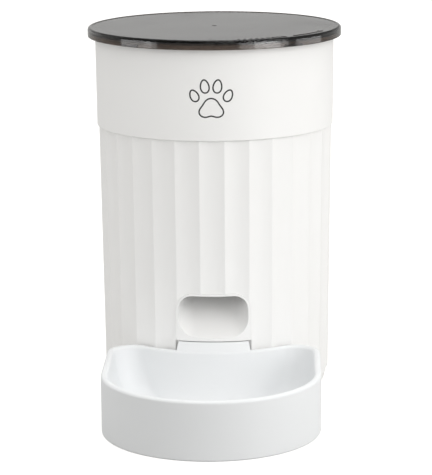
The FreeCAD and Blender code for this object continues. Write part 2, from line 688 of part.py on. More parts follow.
def bowl_cavity():
    """The bowl's hollow: the same plan, ever narrower towards the floor."""
    plan = bowl_form(BOWL_WALL, 0.0, 5.0, 14.0)
    floor = [f for f in plan.Faces if abs(f.BoundBox.ZMax) < 1e-6][0]
    outline = floor.OuterWire
    outline.translate(Vector(0, -BOWL_MIDDLE_Y, 0))
    sections = []
    for z, inset in BOWL_PROFILE:
        share = 1 - inset / (BOWL_HALF_WIDTH - BOWL_WALL)
        narrower = FreeCAD.Matrix()
        narrower.scale(share, share, 1.0)
        section = outline.transformGeometry(narrower)
        section.translate(Vector(0, BOWL_MIDDLE_Y, z))
        sections.append(section)
    return Part.makeLoft(sections, True, False)


def bowl_tab():
    """Tab that rises from the bowl's back rim and ends under the chute's lip."""
    front = shell_radius(45.0) + 0.3
    back = front - 2.4
    crown = BOWL_BACK_RADIUS + BOWL_WALL - RIM_ROUND      # middle of the rim's inner rounding
    rise = TAB_TOP_Z - (BOWL_RIM_Z - RIM_ROUND)
    lean = math.atan2(crown - front, rise) + math.asin(RIM_ROUND / math.hypot(crown - front, rise))
    start_z = BOWL_RIM_Z - 1.2
    start = front + (TAB_TOP_Z - start_z) * math.tan(lean) - 0.12
    profile = turned([
        (back, BOWL_RIM_Z - 0.9), (BOWL_BACK_RADIUS + 1.0, BOWL_RIM_Z - 0.9),
        (BOWL_BACK_RADIUS + 1.0, BOWL_RIM_Z - 3.0), (start - 0.6, BOWL_RIM_Z - 3.0),
        (start, start_z), (front, TAB_TOP_Z, 0.5), (back, TAB_TOP_Z, 0.5),
    ])
    outline = [
        (-TAB_HALF_LOW, BOWL_RIM_Z - 6.0), (TAB_HALF_LOW, BOWL_RIM_Z - 6.0),
        (TAB_HALF_LOW, BOWL_RIM_Z - 0.5), (TAB_HALF_TOP, TAB_TOP_Z + 0.01, 0.6),
        (-TAB_HALF_TOP, TAB_TOP_Z + 0.01, 0.6), (-TAB_HALF_LOW, BOWL_RIM_Z - 0.5),
    ]
    return profile.common(front_slab(outline, -110.0, -60.0))


def bowl():
    """Food bowl that stands against the housing."""
    body = bowl_form(0.0, 0.0, BOWL_RIM_Z, 10.0).cut(bowl_cavity())
    rim_edges = [e for e in body.Edges if abs(e.BoundBox.ZMin - BOWL_RIM_Z) < 1e-3
                 and abs(e.BoundBox.ZMax - BOWL_RIM_Z) < 1e-3]
    body = body.makeFillet(RIM_ROUND, rim_edges)
    foot_edges = [e for e in body.Edges if abs(e.BoundBox.ZMax) < 1e-6]
    body = body.makeFillet(1.2, foot_edges)
    return joined([body, bowl_tab()]).cut(bowl_plan(9.0, -1.0, 1.2))


def bowl_pads():
    """Four soft pads under the bowl."""
    pads = []
    for x, y in ((-58.0, -100.0), (58.0, -100.0), (-42.0, -190.0), (42.0, -190.0)):
        pad = turned([(0, 0.02), (5.0, 0.02, 0.5), (5.6, 1.18, 0.0), (0, 1.18)])
        pad.translate(Vector(x, y, 0))
        pads.append(pad)
    return Part.makeCompound(pads)


# ---- the drive ----------------------------------------------------------------------------


def gear(teeth, low, high, x, y, tooth_at):
    """Involute spur gear about (x, y), with one tooth's middle at that angle."""
    pitch_r = MODULE * teeth / 2
    base_r = pitch_r * math.cos(PRESSURE)
    tip_r = pitch_r + ADDENDUM * MODULE
    root_r = pitch_r - DEDENDUM * MODULE
    half_at_pitch = (math.pi * MODULE / 2 - THINNING) / 2 / pitch_r
    inv_pitch = math.tan(PRESSURE) - PRESSURE
    start_r = max(base_r, root_r)
    flank = []
    for k in range(FLANK_POINTS):
        r = start_r + (tip_r - start_r) * k / (FLANK_POINTS - 1)
        angle = math.acos(min(1.0, base_r / r))
        flank.append((r, half_at_pitch + inv_pitch - (math.tan(angle) - angle)))
    corners = []
    for t in range(teeth):
        middle = math.radians(tooth_at) + 2 * math.pi * t / teeth
        root_half = flank[0][1]
        sides = [(root_r, root_half)] + flank if start_r > root_r + 1e-3 else flank
        for r, half in sides:
            corners.append((x + r * math.cos(middle - half), y + r * math.sin(middle - half)))
        for r, half in reversed(sides):
            corners.append((x + r * math.cos(middle + half), y + r * math.sin(middle + half)))
    return plate(corners, low, high)


def meshed(centre, teeth, degrees):
    """Centre of the gear that meshes with the one at centre, with teeth teeth between the two."""
    dx, dy = at(MODULE * teeth / 2, degrees)
    return centre[0] + dx, centre[1] + dy


B_AT = meshed((0.0, 0.0), OUT_TEETH + SMALL_TEETH, B_ANGLE)
A_AT = meshed(B_AT, BIG_TEETH + SMALL_TEETH, A_ANGLE)
P_AT = meshed(A_AT, BIG_TEETH + PINION_TEETH, P_ANGLE)
MOTOR_SCREWS = [(P_AT[0] + dx, P_AT[1] + dy) for dx, dy in (at(8.5, 125.0), at(8.5, 305.0))]


def drive_gear():
    """Output gear, turned by the last reduction, with a collar that grips the shaft."""
    body = gear(OUT_TEETH, 94.0, 99.5, 0, 0, B_ANGLE)
    body = body.fuse(post(6.5, 92.0, 100.4)).removeSplitter()
    return body.cut(post(4.0, 90.0, 102.0))


def drive_shaft():
    """Shaft with a hexagonal head that enters the rotor's socket."""
    low = post(2.5, CASE_LOW_Z + 0.6, 92.2)
    middle = post(3.98, 92.0, 108.6)
    point = turned([(0, 108.0), (5.0, 108.0), (5.0, 123.8), (3.8, 125.0), (0, 125.0)])
    return joined([low, middle, hexagon(8.0, 108.4, 125.0).common(point)])


def reduction_gear_b():
    """Second reduction: a large and a small gear in one piece."""
    small = gear(SMALL_TEETH, 91.5, 99.4, B_AT[0], B_AT[1], B_ANGLE + 180.0 + 180.0 / SMALL_TEETH)
    large = gear(BIG_TEETH, 87.0, 91.6, B_AT[0], B_AT[1], A_ANGLE)
    return small.fuse(large).removeSplitter().cut(post(AXLE + 0.09, 80, 105, *B_AT))


def reduction_gear_a():
    """First reduction: a large and a small gear in one piece."""
    small = gear(SMALL_TEETH, 84.5, 92.0, A_AT[0], A_AT[1], A_ANGLE + 180.0 + 180.0 / SMALL_TEETH)
    large = gear(BIG_TEETH, 80.5, 84.6, A_AT[0], A_AT[1], P_ANGLE)
    return small.fuse(large).removeSplitter().cut(post(AXLE + 0.09, 78, 105, *A_AT))


def motor_pinion():
    """Small gear pressed on the motor's shaft."""
    body = gear(PINION_TEETH, 79.5, 86.0, P_AT[0], P_AT[1], P_ANGLE + 180.0 + 180.0 / PINION_TEETH)
    return body.cut(post(1.0, 70, 90, *P_AT))


def motor_shaft():
    return post(1.0, 45.6, 86.4, *P_AT)


def motor_can():
    """Small direct-current motor: can, bearing bosses and solder tags in one closed body."""
    x, y = P_AT
    can = turned([
        (1.08, 46.4), (4.8, 46.4, 0.4), (4.8, 48.0), (12.1, 48.0, 1.4), (12.1, MOTOR_TOP_Z, 1.2),
        (4.9, MOTOR_TOP_Z), (4.9, MOTOR_TOP_Z + 2.0, 0.3), (1.08, MOTOR_TOP_Z + 2.0),
    ])
    can.translate(Vector(x, y, 0))
    tags = [box(x + dx - 0.9, x + dx + 0.9, y + 7.0, y + 7.4, 44.4, 48.6) for dx in TAG_XS]
    body = joined([can] + tags)
    for sx, sy in MOTOR_SCREWS:
        body = body.cut(post(1.0, MOTOR_TOP_Z - 5.0, MOTOR_TOP_Z + 1.0, sx, sy))
    return body


def motor_screws():
    return Part.makeCompound([
        pan_screw(sx, sy, CASE_LOW_Z + 2.45, 5.6, up=-1.0, shank=0.95, head=2.0) for sx, sy in MOTOR_SCREWS
    ])


def motor_leads():
    """Two wires from the motor's tags to the connector on the board."""
    x, y = P_AT
    leads = []
    for dx, end_x in zip(TAG_XS, (17.0, 13.0)):
        points = [
            (x + dx, y + 8.1, 46.0), (x + dx, 44.0, 46.0), (x + dx - 3.0, 50.0, 37.0),
            (end_x, 51.0, 25.5), (end_x, BOARD_Y - 6.6, 25.5),
        ]
        leads.append(tube(wire_path(points, 3.0), 0.6))
    return Part.makeCompound(leads)


def gear_axles():
    """Two steel pins that carry the reduction gears."""
    return Part.makeCompound([post(AXLE, 77.0, 102.0, *B_AT), post(AXLE, 77.0, 102.0, *A_AT)])


def gearbox_case():
    """Open case round the gear train, with the motor under its floor."""
    x0, x1, y0, y1 = CASE
    outer = box(x0, x1, y0, y1, CASE_LOW_Z, CASE_TOP_Z, 5.0)
    inner = box(x0 + 2, x1 - 2, y0 + 1.5, y1 - 2, CASE_LOW_Z + 2.4, CASE_TOP_Z + 1, 3.4)
    pillars = [post(3.2, CASE_LOW_Z + 1, CASE_TOP_Z, x, y) for x, y in CASE_SCREWS]
    body = joined([outer.cut(inner)] + pillars)
    for x, y in CASE_SCREWS:
        body = body.cut(post(1.2, CASE_LOW_Z + 6, CASE_TOP_Z + 1, x, y))
    for x, y in (B_AT, A_AT):
        body = body.cut(post(AXLE, CASE_LOW_Z + 1.0, CASE_LOW_Z + 4, x, y))
    for x, y in MOTOR_SCREWS:
        body = body.cut(post(1.2, CASE_LOW_Z - 1, CASE_LOW_Z + 3, x, y))
    body = body.cut(post(2.58, CASE_LOW_Z - 1, CASE_TOP_Z, 0, 0))
    return body.cut(post(4.95, CASE_LOW_Z - 1, CASE_LOW_Z + 4, *P_AT))


def gearbox_cover():
    """Cover plate over the gear train, with the upper ends of the axles in it."""
    x0, x1, y0, y1 = CASE
    body = box(x0, x1, y0, y1, CASE_TOP_Z + 0.05, COVER_TOP_Z, 5.0)
    body = body.cut(post(4.3, 99, 110, 0, 0))
    for x, y in (B_AT, A_AT):
        body = body.cut(post(AXLE, 99, 102.1, x, y))
    for x, y in CASE_SCREWS:
        body = body.cut(post(1.6, 99, 110, x, y))
    return body


def gearbox_screws():
    """Long screws through the deck and the cover into the gearbox's pillars."""
    return Part.makeCompound([
        pan_screw(x, y, DECK_TOP_Z - 1.7, 16.0, up=-1.0, shank=1.15, head=2.9) for x, y in CASE_SCREWS
    ])


def drive_deck():
    """Deck that carries the gearbox and the tank, on four posts that reach the base plate."""
    edge = shell_radius(DECK_TOP_Z) - SHELL_LESS - 0.9
    disc = turned([
        (0, DECK_TOP_Z - DECK_THICK), (edge, DECK_TOP_Z - DECK_THICK, 0.4),
        (edge, DECK_TOP_Z, 0.4), (0, DECK_TOP_Z),
    ])
    curb = ring(CHAMBER_RADIUS + 4.8, CHAMBER_RADIUS + 3.0, DECK_TOP_Z - 0.2, DECK_TOP_Z + 5.0)
    legs = [post(4.0, 22.1, DECK_TOP_Z - 1.0, *at(DECK_POST_RADIUS, a)) for a in DECK_POST_ANGLES]
    body = joined([disc, curb] + legs)
    for a in DECK_POST_ANGLES:
        body = body.cut(post(1.25, 20.0, 40.0, *at(DECK_POST_RADIUS, a)))
    for x, y in CASE_SCREWS:
        body = body.cut(post(1.6, 90, 110, x, y)).cut(post(3.1, DECK_TOP_Z - 1.7, 110, x, y))
    body = body.cut(post(6.0, 90, 120, 0, 0))
    half = MOUTH_HALF_WIDTH + 0.2
    return body.cut(box(-half, half, -48.6, -19.0, 90, DECK_TOP_Z + 0.3, 8.0))


def shaft_bush():
    """Flanged bush that guides the drive shaft in the deck."""
    return turned([
        (4.07, DECK_TOP_Z - DECK_THICK), (5.98, DECK_TOP_Z - DECK_THICK), (5.98, DECK_TOP_Z + 0.02),
        (6.9, DECK_TOP_Z + 0.02, 0.3), (6.9, DECK_TOP_Z + 1.4, 0.4), (4.07, DECK_TOP_Z + 1.4),
    ])


def deck_screws():
    return Part.makeCompound([
        pan_screw(*at(DECK_POST_RADIUS, a), 18.0, 14.0, shank=1.2) for a in DECK_POST_ANGLES
    ])


def case_screws():
    return Part.makeCompound([
        pan_screw(*at(SHELL_BOSS_RADIUS, a), 12.0, 14.0, shank=1.2) for a in SHELL_BOSS_ANGLES
    ])


# ---- the electronics ----------------------------------------------------------------------


def main_board():
    body = front_slab([(-31, 17, 2), (31, 17, 2), (31, 61, 2), (-31, 61, 2)], BOARD_Y, BOARD_FRONT)
    for x, z in BOARD_SCREWS:
        body = body.cut(rod_y(1.6, BOARD_Y - 1, BOARD_FRONT + 1, x, z))
    return body


def board_brackets():
    """Two uprights on the base plate that hold the board."""
    sides = []
    for s in (-1, 1):
        foot = box(s * 26.0 - 4.5, s * 26.0 + 4.5, 50.0, BOARD_Y - 0.1,
                   BASE_LOW_Z + 3.1, BASE_LOW_Z + 5.6, 1.0)
        stem = box(s * 26.0 - 4.5, s * 26.0 + 4.5, BOARD_Y - 3.1, BOARD_Y - 0.1, BASE_LOW_Z + 3.1, 60.0)
        side = foot.fuse(stem).removeSplitter()
        for x, z in BOARD_SCREWS:
            side = side.cut(rod_y(1.1, BOARD_Y - 5, BOARD_Y + 1, x, z))
        sides.append(side)
    return Part.makeCompound(sides)


def board_screws():
    screws = []
    for x, z in BOARD_SCREWS:
        shank = rod_y(1.05, BOARD_FRONT - 4.4, BOARD_FRONT + 0.1, x, z)
        head = rod_y(2.3, BOARD_FRONT + 0.05, BOARD_FRONT + 1.5, x, z)
        screws.append(shank.fuse(head).removeSplitter())
    return Part.makeCompound(screws)


def on_board(x0, x1, z0, z1, height, radius=0.4):
    """A block on the board's inner side."""
    back = BOARD_Y - 0.02
    outline = [(x0, z0, radius), (x1, z0, radius), (x1, z1, radius), (x0, z1, radius)]
    return front_slab(outline, back - height, back)


def radio_module():
    """Radio board with its metal can."""
    return on_board(-18, 0, 48, 60, 0.8).fuse(on_board(-17, -1, 48.8, 56, 2.6)).removeSplitter()


def controller_chip():
    return on_board(-9, 1, 30, 40, 1.4, 0.2)


def capacitors():
    """Two can capacitors standing on the board."""
    back = BOARD_Y - 0.02
    large = rod_y(4.0, back - 11.0, back, -15.0, 33.0)
    small = rod_y(3.2, back - 8.0, back, 14.0, 42.0)
    return Part.makeCompound([large, small])


def lead_connector():
    """Plug of the motor's two wires."""
    body = on_board(10, 20, 22, 29, 6.5)
    for x in (13.0, 17.0):
        body = body.cut(rod_y(0.75, BOARD_Y - 7.0, BOARD_Y - 4.0, x, 25.5))
    return body


def dc_socket():
    """Round power socket on the board."""
    x, z = SOCKET_AT
    corners = [(x - 4.5, z - 5, 0.5), (x + 4.5, z - 5, 0.5), (x + 4.5, z + 5.5, 0.5), (x - 4.5, z + 5.5, 0.5)]
    block = front_slab(corners, BOARD_FRONT + 0.02, PANEL_Y - 1.0)
    nose = rod_y(4.0, PANEL_Y - 1.2, PANEL_Y + 1.0, x, z)
    return block.fuse(nose).removeSplitter().cut(rod_y(2.9, BOARD_FRONT + 3.0, PANEL_Y + 2.0, x, z))


def dc_pin():
    x, z = SOCKET_AT
    tip = Part.makeSphere(1.0, Vector(x, PANEL_Y - 0.6, z))
    return rod_y(1.0, BOARD_FRONT + 3.0, PANEL_Y - 0.6, x, z).fuse(tip).removeSplitter()


def button_switch():
    """Small tactile switch behind the feed button."""
    x, z = BUTTON_AT
    block = front_slab([(x - 3, z - 3, 0.4), (x + 3, z - 3, 0.4), (x + 3, z + 3, 0.4), (x - 3, z + 3, 0.4)],
                       BOARD_FRONT + 0.02, BOARD_FRONT + 3.6)
    return block.fuse(rod_y(1.7, BOARD_FRONT + 3.5, BOARD_FRONT + 4.4, x, z)).removeSplitter()


def feed_button():
    """Push button for feeding by hand, with a retaining flange behind the panel."""
    x, z = BUTTON_AT
    profile = [
        (0, 0), (BUTTON_RADIUS + 1.2, 0, 0.3), (BUTTON_RADIUS + 1.2, 1.2, 0.3), (BUTTON_RADIUS, 1.2),
        (BUTTON_RADIUS, 5.6, 0.8), (2.6, 5.6, 1.0), (1.6, 5.2, 0.5), (0, 5.1),
    ]
    cap = turned(profile)
    stem = post(2.0, -6.6, 0.3)
    body = cap.fuse(stem).removeSplitter()
    body.rotate(Vector(0, 0, 0), Vector(1, 0, 0), -90.0)
    body.translate(Vector(x, PANEL_Y - 1.4, z))
    return body


def status_lens():
    """Clear rod that carries the indicator's light to the panel."""
    x, z = LENS_AT
    rod = rod_y(1.5, BOARD_FRONT + 2.0, PANEL_Y + 2.2, x, z)
    flange = rod_y(2.4, PANEL_Y - 1.6, PANEL_Y - 0.1, x, z)
    return rod.fuse(flange).removeSplitter()


def status_led():
    x, z = LENS_AT
    return front_slab([(x - 1.6, z - 1.0), (x + 1.6, z - 1.0), (x + 1.6, z + 1.0), (x - 1.6, z + 1.0)],
                      BOARD_FRONT + 0.02, BOARD_FRONT + 1.4)


SUB_PARTS = {
    "lid": lid, "lid_gasket": lid_gasket,
    "hopper_tank": hopper_tank, "portion_guard": portion_guard,
    "rotor_hub": rotor_hub, "rotor_vanes": rotor_vanes, "stirrer": stirrer,
    "fluted_shell": fluted_shell, "port_panel": port_panel, "base_plate": base_plate, "base_feet": base_feet,
    "battery_cover": battery_cover, "battery_box": battery_box, "battery_springs": battery_springs,
    "battery_contacts": battery_contacts,
    "discharge_chute": discharge_chute, "bowl": bowl, "bowl_pads": bowl_pads,
    "drive_gear": drive_gear, "drive_shaft": drive_shaft,
    "food_sensors": food_sensors, "reduction_gear_b": reduction_gear_b,
    "reduction_gear_a": reduction_gear_a, "motor_pinion": motor_pinion, "motor_shaft": motor_shaft,
    "motor_can": motor_can, "motor_screws": motor_screws, "motor_leads": motor_leads,
    "gear_axles": gear_axles, "gearbox_case": gearbox_case,
    "gearbox_cover": gearbox_cover, "gearbox_screws": gearbox_screws, "drive_deck": drive_deck,
    "shaft_bush": shaft_bush, "deck_screws": deck_screws, "case_screws": case_screws,
    "main_board": main_board, "board_brackets": board_brackets, "board_screws": board_screws,
    "radio_module": radio_module, "controller_chip": controller_chip, "capacitors": capacitors,
    "lead_connector": lead_connector, "dc_socket": dc_socket, "dc_pin": dc_pin, "button_switch": button_switch,
    "feed_button": feed_button, "status_lens": status_lens, "status_led": status_led,
}

if __name__ == "__main__":
    os.makedirs("parts", exist_ok=True)
    for name, make in SUB_PARTS.items():
        shape = make()
        shape.translate(Vector(0, AXIS_Y, 0))
        shape.exportStep(os.path.join("parts", name + ".step"))
        state = "" if shape.isValid() else "INVALID"
        print(name, len(shape.Solids), round(shape.Volume / 1000.0, 2), "cm3", state)
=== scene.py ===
"""The looks of an automatic pet feeder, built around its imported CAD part. Blender 4.5, metres."""
import math

import bmesh
import bpy
from mathutils import Matrix, Vector


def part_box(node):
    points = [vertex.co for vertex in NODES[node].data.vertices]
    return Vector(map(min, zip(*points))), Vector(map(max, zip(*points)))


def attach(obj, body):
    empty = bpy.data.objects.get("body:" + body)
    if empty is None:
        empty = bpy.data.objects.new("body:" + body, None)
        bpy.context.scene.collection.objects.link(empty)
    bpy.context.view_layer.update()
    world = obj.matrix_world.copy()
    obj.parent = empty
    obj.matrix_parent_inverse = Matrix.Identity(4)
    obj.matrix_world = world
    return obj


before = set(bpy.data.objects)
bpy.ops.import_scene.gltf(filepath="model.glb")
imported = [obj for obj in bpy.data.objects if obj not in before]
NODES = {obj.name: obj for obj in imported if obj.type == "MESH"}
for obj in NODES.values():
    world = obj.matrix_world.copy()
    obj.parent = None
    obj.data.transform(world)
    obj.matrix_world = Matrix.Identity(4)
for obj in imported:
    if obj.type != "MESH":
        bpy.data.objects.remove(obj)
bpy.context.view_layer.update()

MM = 0.001
LID_LOW, LID_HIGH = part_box("lid")
LID_MIDDLE = (LID_LOW + LID_HIGH) / 2
TOP = LID_HIGH.z                          # the lid's rim, the highest part of the feeder
DISH = 0.35 * MM                          # how far the lid's top lies under its rim

# The paw print on the collar's front, in millimetres and degrees about its own middle.
PAW_AT = Vector((0.0, -300.0, 229.0))     # in front of the collar, and cast back onto it
PAW_LINE = 1.05
INK_HALF = 0.03                           # half of the printed band's thickness
TOES = [                                  # x, z, half width, half height, lean
    (-12.2, 2.6, 3.5, 4.9, 26.0),
    (-4.6, 9.4, 3.6, 5.3, 8.0),
    (4.6, 9.4, 3.6, 5.3, -8.0),
    (12.2, 2.6, 3.5, 4.9, -26.0),
]
TOE_TAPER = 0.14
TOE_POINTS = 40
PAD_X, PAD_Z = 0.0, -7.2
PAD_REACH = 7.6
PAD_WIDE, PAD_TALL = 1.16, 0.98
PAD_CORNERS = 1.0                         # how far its three corners stand out
PAD_NOTCH = 1.1
PAD_NOTCH_HALF = 0.42                     # half the notch's width, in radians
PAD_POINTS = 96

# The raised marks on the lid, in millimetres and degrees about the lid's middle.
MARKS_FROM = TOP - DISH - 0.02 * MM
MARKS_UP_TO = TOP - 0.04 * MM
MARK_BEVEL = 0.12
TICKS = 9
TICK_START, TICK_STEP, TICK_HALF = -77.0, 3.0, 0.55
TICK_INNER, TICK_OUTER, TICK_GROWTH = 87.4, 89.0, 0.42
ARROW_START, ARROW_END = -47.0, -25.0
ARROW_INNER, ARROW_OUTER = 86.2, 87.8
ARROW_PIECES = 11
ARROW_BEVEL = 0.02
HEAD_INNER, HEAD_OUTER = 84.6, 89.4
HEAD_OVERLAP, HEAD_LENGTH = 0.2, 3.6
GATE_RADIUS = 1.8
GATE_POINTS = 12
GATE_BEVEL = 0.1

# Where the camera stands: a long lens, a little to the right of the middle, looking down.
CAMERA_AT = Vector((51.4, -1667.05, 475.6)) * MM
CAMERA_AZIMUTH = math.radians(1.70)
CAMERA_PITCH = math.radians(11.95)
CAMERA_ROLL = -0.008
CAMERA_LENS = 175.5

FLOOR_HALF = 9.0
DARK_FLOOR_AT = (-0.07, -0.35, 0.0)       # a patch that bounces little light up onto the bowl's front
DARK_FLOOR_REACH = (0.31, 0.30, 1.0)

LIGHTS_AIM = (0.0, 0.0, 0.12)

# Low strips of light that show only as highlights: the lid's skirt mirrors them, and its top doesn't.
STRIP_HEIGHT = 0.24
STRIP_MIDDLE = 0.125
STRIP_DISTANCE = 1.0
STRIP_STAGGER = 0.02                      # each stands this much further out than the one before
STRIPS = [                                # degrees round from the front, width, radiance
    (48.0, 0.86, 2.8),
    (51.0, 0.44, 5.0),
    (96.0, 0.60, 2.4),
    (-74.0, 0.62, 2.9),
    (-57.0, 0.20, 2.4),
]

NOISE_LOW, NOISE_HIGH = 0.3, 0.7          # most of a noise's values lie between these


# ---- materials ------------------------------------------------------------------------------
def ranged(tree, source, low, high, start=0.0, end=1.0):
    """source's range from start to end, as low to high. low or high may be a socket."""
    node = tree.nodes.new("ShaderNodeMapRange")
    node.inputs["From Min"].default_value = start
    node.inputs["From Max"].default_value = end
    for name, value in (("To Min", low), ("To Max", high)):
        if isinstance(value, (int, float)):
            node.inputs[name].default_value = value
        else:
            tree.links.new(value, node.inputs[name])
    tree.links.new(source, node.inputs["Value"])
    return node.outputs["Result"]


class Skin:
    """A new material's node tree, with short ways to add and link its nodes."""

    def __init__(self, name, **values):
        self.material = bpy.data.materials.new(name)
        self.material.use_nodes = True
        self.tree = self.material.node_tree
        self.shader = self.tree.nodes["Principled BSDF"]
        self.output = self.tree.nodes["Material Output"]
        self.place = self.add("ShaderNodeTexCoord").outputs["Object"]
        for key, value in values.items():
            self.shader.inputs[key.replace("_", " ")].default_value = value

    def add(self, kind, **values):
        """A new node, with its inputs and its settings given by name."""
        node = self.tree.nodes.new(kind)
        for key, value in values.items():
            if key in node.inputs:
                node.inputs[key].default_value = value
            else:
                setattr(node, key, value)
        return node

    def link(self, source, target):
        """A link from an output to an input."""
        self.tree.links.new(source, target)

    def noise(self, scale, detail):
        """Noise of that many cells a metre, over the object's own place."""
        node = self.add("ShaderNodeTexNoise", Scale=scale, Detail=detail)
        self.link(self.place, node.inputs["Vector"])
        return node.outputs["Fac"]

    def colour(self, source, one, other):
        """The base colour, from one to other as source goes from 0 to 1."""
        node = self.add("ShaderNodeValToRGB")
        node.color_ramp.elements[0].color = (*one, 1)
        node.color_ramp.elements[1].color = (*other, 1)
        self.link(source, node.inputs["Fac"])
        self.link(node.outputs["Color"], self.shader.inputs["Base Color"])

    def mottle(self, one, other, scale, detail):
        """The base colour, drifting from one to other."""
        patches = ranged(self.tree, self.noise(scale, detail), 0.0, 1.0, NOISE_LOW, NOISE_HIGH)
        self.colour(patches, one, other)

    def gloss(self, low, high, scale, detail, start=NOISE_LOW, end=NOISE_HIGH):
        """The roughness, drifting from low to high."""
        rough = ranged(self.tree, self.noise(scale, detail), low, high, start, end)
        self.link(rough, self.shader.inputs["Roughness"])

    def bump(self, source, depth):
        """Bumps as deep as depth metres."""
        node = self.add("ShaderNodeBump", Strength=1.0, Distance=depth)
        self.link(source, node.inputs["Height"])
        self.link(node.outputs["Normal"], self.shader.inputs["Normal"])


def moulded(name, one, other, rough, grain=1500.0):
    """Moulded plastic: a fine spark-eroded grain, slow changes of shade and of gloss."""
    skin = Skin(name, IOR=1.46)
    skin.mottle(one, other, scale=7.0, detail=3.0)
    skin.gloss(rough - 0.04, rough + 0.04, scale=60.0, detail=4.0)
    skin.bump(skin.noise(grain, detail=2.0), depth=0.01 * MM)
    return skin.material


def smoked(name):
    """Clear plastic tinted brown-black: dark where it is thick, brown where it is thin."""
    skin = Skin(name, IOR=1.49, Transmission_Weight=1.0, Base_Color=(0.96, 0.95, 0.94, 1))
    skin.gloss(0.02, 0.16, scale=11.0, detail=5.0, start=0.35, end=0.65)
    skin.bump(skin.noise(16.0, detail=2.0), depth=0.22 * MM)
    tint = skin.add("ShaderNodeVolumeAbsorption", Color=(0.34, 0.20, 0.10, 1), Density=1180.0)
    skin.link(tint.outputs["Volume"], skin.output.inputs["Volume"])
    return skin.material


def metal(name, colour, rough):
    """Turned or drawn metal, with a fine grain and a little tarnish."""
    skin = Skin(name, Metallic=1.0)
    tarnished = tuple(c * 0.82 for c in colour)
    skin.mottle(tarnished, colour, scale=90.0, detail=4.0)
    skin.gloss(rough - 0.07, rough + 0.09, scale=700.0, detail=3.0)
    skin.bump(skin.noise(1400.0, detail=2.0), depth=0.006 * MM)
    return skin.material


def rubber(name, one, other, rough):
    """Soft rubber or silicone: a dull skin with dust-fine mottling."""
    skin = Skin(name, IOR=1.42)
    skin.mottle(one, other, scale=220.0, detail=5.0)
    skin.gloss(rough - 0.06, rough + 0.06, scale=80.0, detail=3.0)
    skin.bump(skin.noise(900.0, detail=4.0), depth=0.025 * MM)
    return skin.material


def laminate(name):
    """A green circuit board: solder mask over faint tracks."""
    skin = Skin(name)
    cells = skin.add("ShaderNodeTexVoronoi", Scale=260.0, feature="F1", distance="MANHATTAN")
    skin.link(skin.place, cells.inputs["Vector"])
    tracks = ranged(skin.tree, cells.outputs["Distance"], 0.0, 1.0, start=0.32, end=0.38)
    skin.colour(tracks, (0.012, 0.085, 0.038), (0.018, 0.145, 0.062))
    skin.gloss(0.28, 0.40, scale=120.0, detail=3.0)
    skin.bump(tracks, depth=0.03 * MM)
    return skin.material


def clear(name):
    """Clear plastic with a faint haze."""
    skin = Skin(name, IOR=1.5, Transmission_Weight=0.85, Base_Color=(0.88, 0.93, 0.90, 1))
    skin.gloss(0.10, 0.22, scale=300.0, detail=3.0)
    skin.bump(skin.noise(900.0, detail=2.0), depth=0.005 * MM)
    return skin.material


def ink(name):
    """Black pad-printed ink, a little uneven."""
    skin = Skin(name, IOR=1.5)
    skin.mottle((0.011, 0.011, 0.012), (0.022, 0.022, 0.023), scale=800.0, detail=4.0)
    skin.gloss(0.38, 0.55, scale=500.0, detail=3.0)
    skin.bump(skin.noise(2500.0, detail=2.0), depth=0.006 * MM)
    return skin.material


MATERIALS = {
    "white_plastic": moulded("warm_white_plastic", (0.880, 0.877, 0.869), (0.894, 0.891, 0.884), 0.56),
    "bowl_plastic": moulded("cool_white_plastic", (0.812, 0.826, 0.835), (0.826, 0.840, 0.851), 0.58),
    "grey_plastic": moulded("grey_plastic", (0.30, 0.305, 0.31), (0.34, 0.345, 0.35), 0.48),
    "black_plastic": moulded("black_plastic", (0.016, 0.016, 0.017), (0.024, 0.024, 0.026), 0.40),
    "gear_nylon": moulded("nylon", (0.70, 0.69, 0.64), (0.76, 0.75, 0.70), 0.38, grain=900.0),
    "wire_insulation": moulded("wire_insulation", (0.30, 0.02, 0.02), (0.36, 0.03, 0.03), 0.35),
    "smoked_plastic": smoked("smoked_clear_plastic"),
    "clear_plastic": clear("clear_plastic"),
    "seal_silicone": rubber("silicone", (0.50, 0.51, 0.51), (0.56, 0.57, 0.57), 0.50),
    "vane_rubber": rubber("vane_rubber", (0.60, 0.60, 0.57), (0.66, 0.66, 0.63), 0.56),
    "foot_rubber": rubber("foot_rubber", (0.20, 0.20, 0.20), (0.25, 0.25, 0.25), 0.72),
    "steel": metal("steel", (0.60, 0.60, 0.61), 0.30),
    "brass": metal("brass", (0.72, 0.55, 0.26), 0.28),
    "circuit_board": laminate("circuit_board"),
}
BLACK_INK = ink("black_ink")
RAISED_MARKS = moulded("smoked_raised_marks", (0.030, 0.026, 0.024), (0.042, 0.037, 0.034), 0.16)


def dress_cad_nodes():
    """Gives every carried-over CAD node the finished material of its own slot."""
    for node in NODES.values():
        for place in node.material_slots:
            place.material = MATERIALS[place.material.name.split(".")[0]]


# ---- printed and raised marks -----------------------------------------------------------------
def toe_outline(x, z, half_width, half_height, lean):
    """An egg-shaped toe, narrower at its top."""
    points = []
    cosine, sine = math.cos(math.radians(lean)), math.sin(math.radians(lean))
    for step in range(TOE_POINTS):
        turn = 2 * math.pi * step / TOE_POINTS
        across = half_width * math.cos(turn) * (1 - TOE_TAPER * math.sin(turn))
        up = half_height * math.sin(turn)
        points.append((x + across * cosine - up * sine, z + across * sine + up * cosine))
    return points


def pad_outline():
    """The large pad: a rounded triangle with a shallow notch under it."""
    points = []
    for step in range(PAD_POINTS):
        turn = 2 * math.pi * step / PAD_POINTS
        notch = PAD_NOTCH * math.exp(-((turn - 1.5 * math.pi) / PAD_NOTCH_HALF) ** 2)
        reach = PAD_REACH - PAD_CORNERS * math.sin(3 * turn) - notch
        x = PAD_X + PAD_WIDE * reach * math.cos(turn)
        z = PAD_Z + PAD_TALL * reach * math.sin(turn)
        points.append((x, z))
    return points


